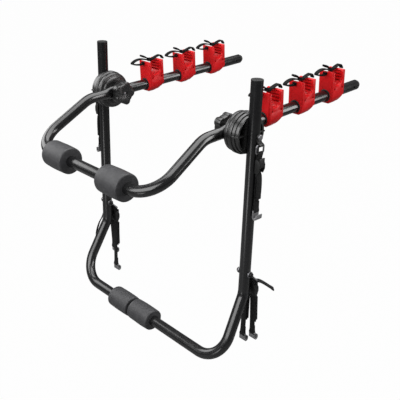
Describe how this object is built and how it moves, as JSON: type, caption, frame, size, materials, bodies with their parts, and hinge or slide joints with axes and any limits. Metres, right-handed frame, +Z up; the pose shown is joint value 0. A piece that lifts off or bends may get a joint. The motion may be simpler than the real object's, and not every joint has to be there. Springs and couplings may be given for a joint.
{
  "type": "car bike rack",
  "caption": "Folding rear rack that straps to a car's tail and carries bicycles on two arms with padded rest bars.",
  "frame": {"origin": "centre of the lower rest bar's axis", "axes": "X across the car, +Y away from the car along the bike arms, +Z up"},
  "size_m": [0.6256, 0.7727, 0.726],
  "materials": {
    "frame_coat": "satin",
    "cap_plastic": "matte",
    "hub_plastic": "matte",
    "zinc_steel": "satin",
    "foam": "matte",
    "cradle_plastic": "satin",
    "rubber": "matte",
    "strap_rubber": "satin",
    "webbing": "woven",
    "buckle_coat": "satin",
    "hook_grey": "satin"
  },
  "bodies": {
    "lower_frame": {"lower_frame": "frame_coat", "upright_caps": "cap_plastic", "hub_base_left": "hub_plastic", "hub_base_right": "hub_plastic", "pivot_bolts": "zinc_steel", "knob_washers": "zinc_steel", "lower_strap_bolts": "zinc_steel"},
    "upper_frame": {"upper_frame": "frame_coat", "arm_caps": "cap_plastic", "hub_disc_left": "hub_plastic", "hub_disc_right": "hub_plastic"},
    "knob_left": {"knob_left": "hub_plastic"},
    "upper_pad_left": {"upper_pad_left": "foam"},
    "lower_pad_left": {"lower_pad_left": "foam"},
    "cradle_left_1": {"cradle_left_1": "cradle_plastic", "cradle_liner_left_1": "rubber", "cradle_strap_left_1": "strap_rubber"},
    "cradle_left_2": {"cradle_left_2": "cradle_plastic", "cradle_liner_left_2": "rubber", "cradle_strap_left_2": "strap_rubber"},
    "cradle_left_3": {"cradle_left_3": "cradle_plastic", "cradle_liner_left_3": "rubber", "cradle_strap_left_3": "strap_rubber"},
    "upper_strap_left": {"strap_link_left": "buckle_coat", "upper_ring_left": "zinc_steel", "upper_webbing_left": "webbing", "upper_buckle_left": "buckle_coat", "upper_hook_left": "hook_grey"},
    "upper_lever_left": {"upper_lever_left": "buckle_coat"},
    "lower_straps_left": {"strap_ring_left": "zinc_steel", "lower_webbing_left": "webbing", "lower_buckles_left": "buckle_coat", "lower_hooks_left": "hook_grey"},
    "inner_lever_left": {"inner_lever_left": "buckle_coat"},
    "outer_lever_left": {"outer_lever_left": "buckle_coat"},
    "knob_right": {"knob_right": "hub_plastic"},
    "upper_pad_right": {"upper_pad_right": "foam"},
    "lower_pad_right": {"lower_pad_right": "foam"},
    "cradle_right_1": {"cradle_right_1": "cradle_plastic", "cradle_liner_right_1": "rubber", "cradle_strap_right_1": "strap_rubber"},
    "cradle_right_2": {"cradle_right_2": "cradle_plastic", "cradle_liner_right_2": "rubber", "cradle_strap_right_2": "strap_rubber"},
    "cradle_right_3": {"cradle_right_3": "cradle_plastic", "cradle_liner_right_3": "rubber", "cradle_strap_right_3": "strap_rubber"},
    "upper_strap_right": {"strap_link_right": "buckle_coat", "upper_ring_right": "zinc_steel", "upper_webbing_right": "webbing", "upper_buckle_right": "buckle_coat", "upper_hook_right": "hook_grey"},
    "upper_lever_right": {"upper_lever_right": "buckle_coat"},
    "lower_straps_right": {"strap_ring_right": "zinc_steel", "lower_webbing_right": "webbing", "lower_buckles_right": "buckle_coat", "lower_hooks_right": "hook_grey"},
    "inner_lever_right": {"inner_lever_right": "buckle_coat"},
    "outer_lever_right": {"outer_lever_right": "buckle_coat"}
  },
  "joints": [
    {"name": "upper_frame_tilt", "type": "hinge", "parent": "lower_frame", "child": "upper_frame", "pos_m": [0, 0.087, 0.571], "axis": [1, 0, 0], "range_deg": [-94, 86]},
    {"name": "knob_left_turn", "type": "hinge", "parent": "lower_frame", "child": "knob_left", "pos_m": [-0.2, 0.087, 0.571], "axis": [1, 0, 0], "continuous": true},
    {"name": "upper_pad_left_turn", "type": "hinge", "parent": "upper_frame", "child": "upper_pad_left", "pos_m": [-0.109, -0.164, 0.4685], "axis": [1, 0, 0], "continuous": true},
    {"name": "lower_pad_left_turn", "type": "hinge", "parent": "lower_frame", "child": "lower_pad_left", "pos_m": [-0.0905, 0, 0], "axis": [1, 0, 0], "continuous": true},
    {"name": "cradle_left_1_slide", "type": "slide", "parent": "upper_frame", "child": "cradle_left_1", "axis": [0, 0.9976, 0.0698], "range_m": [-0.012, 0.012]},
    {"name": "cradle_left_2_slide", "type": "slide", "parent": "upper_frame", "child": "cradle_left_2", "axis": [0, 0.9976, 0.0698], "range_m": [-0.012, 0.012]},
    {"name": "cradle_left_3_slide", "type": "slide", "parent": "upper_frame", "child": "cradle_left_3", "axis": [0, 0.9976, 0.0698], "range_m": [-0.012, 0.012]},
    {"name": "upper_strap_left_swing", "type": "hinge", "parent": "lower_frame", "child": "upper_strap_left", "pos_m": [-0.2966, 0.087, 0.571], "axis": [1, 0, 0], "range_deg": [-45, 45]},
    {"name": "upper_lever_left_open", "type": "hinge", "parent": "upper_strap_left", "child": "upper_lever_left", "pos_m": [-0.30735, 0.087, 0.505], "axis": [0, -1, 0], "range_deg": [0, 50], "stiffness_Nm_per_rad": 0.02, "springref_deg": -11.46},
    {"name": "lower_straps_left_swing", "type": "hinge", "parent": "lower_frame", "child": "lower_straps_left", "pos_m": [-0.281, 0.087, 0.224], "axis": [1, 0, 0], "range_deg": [0, 60]},
    {"name": "inner_lever_left_open", "type": "hinge", "parent": "lower_straps_left", "child": "inner_lever_left", "pos_m": [-0.27, 0.1118, 0.174], "axis": [-1, 0, 0], "range_deg": [0, 50], "stiffness_Nm_per_rad": 0.02, "springref_deg": -11.46},
    {"name": "outer_lever_left_open", "type": "hinge", "parent": "lower_straps_left", "child": "outer_lever_left", "pos_m": [-0.292, 0.11388, 0.17448], "axis": [-1, 0, 0], "range_deg": [0, 50], "stiffness_Nm_per_rad": 0.02, "springref_deg": -11.46},
    {"name": "knob_right_turn", "type": "hinge", "parent": "lower_frame", "child": "knob_right", "pos_m": [0.2, 0.087, 0.571], "axis": [1, 0, 0], "continuous": true},
    {"name": "upper_pad_right_turn", "type": "hinge", "parent": "upper_frame", "child": "upper_pad_right", "pos_m": [0.109, -0.164, 0.4685], "axis": [1, 0, 0], "continuous": true},
    {"name": "lower_pad_right_turn", "type": "hinge", "parent": "lower_frame", "child": "lower_pad_right", "pos_m": [-0.0015, 0, 0], "axis": [1, 0, 0], "continuous": true},
    {"name": "cradle_right_1_slide", "type": "slide", "parent": "upper_frame", "child": "cradle_right_1", "axis": [0, 0.9976, 0.0698], "range_m": [-0.012, 0.012]},
    {"name": "cradle_right_2_slide", "type": "slide", "parent": "upper_frame", "child": "cradle_right_2", "axis": [0, 0.9976, 0.0698], "range_m": [-0.012, 0.012]},
    {"name": "cradle_right_3_slide", "type": "slide", "parent": "upper_frame", "child": "cradle_right_3", "axis": [0, 0.9976, 0.0698], "range_m": [-0.012, 0.012]},
    {"name": "upper_strap_right_swing", "type": "hinge", "parent": "lower_frame", "child": "upper_strap_right", "pos_m": [0.2966, 0.087, 0.571], "axis": [1, 0, 0], "range_deg": [-45, 45]},
    {"name": "upper_lever_right_open", "type": "hinge", "parent": "upper_strap_right", "child": "upper_lever_right", "pos_m": [0.30735, 0.087, 0.505], "axis": [0, 1, 0], "range_deg": [0, 50], "stiffness_Nm_per_rad": 0.02, "springref_deg": -11.46},
    {"name": "lower_straps_right_swing", "type": "hinge", "parent": "lower_frame", "child": "lower_straps_right", "pos_m": [0.281, 0.087, 0.224], "axis": [1, 0, 0], "range_deg": [0, 60]},
    {"name": "inner_lever_right_open", "type": "hinge", "parent": "lower_straps_right", "child": "inner_lever_right", "pos_m": [0.27, 0.1118, 0.174], "axis": [-1, 0, 0], "range_deg": [0, 50], "stiffness_Nm_per_rad": 0.02, "springref_deg": -11.46},
    {"name": "outer_lever_right_open", "type": "hinge", "parent": "lower_straps_right", "child": "outer_lever_right", "pos_m": [0.292, 0.11388, 0.17448], "axis": [-1, 0, 0], "range_deg": [0, 50], "stiffness_Nm_per_rad": 0.02, "springref_deg": -11.46}
  ]
}
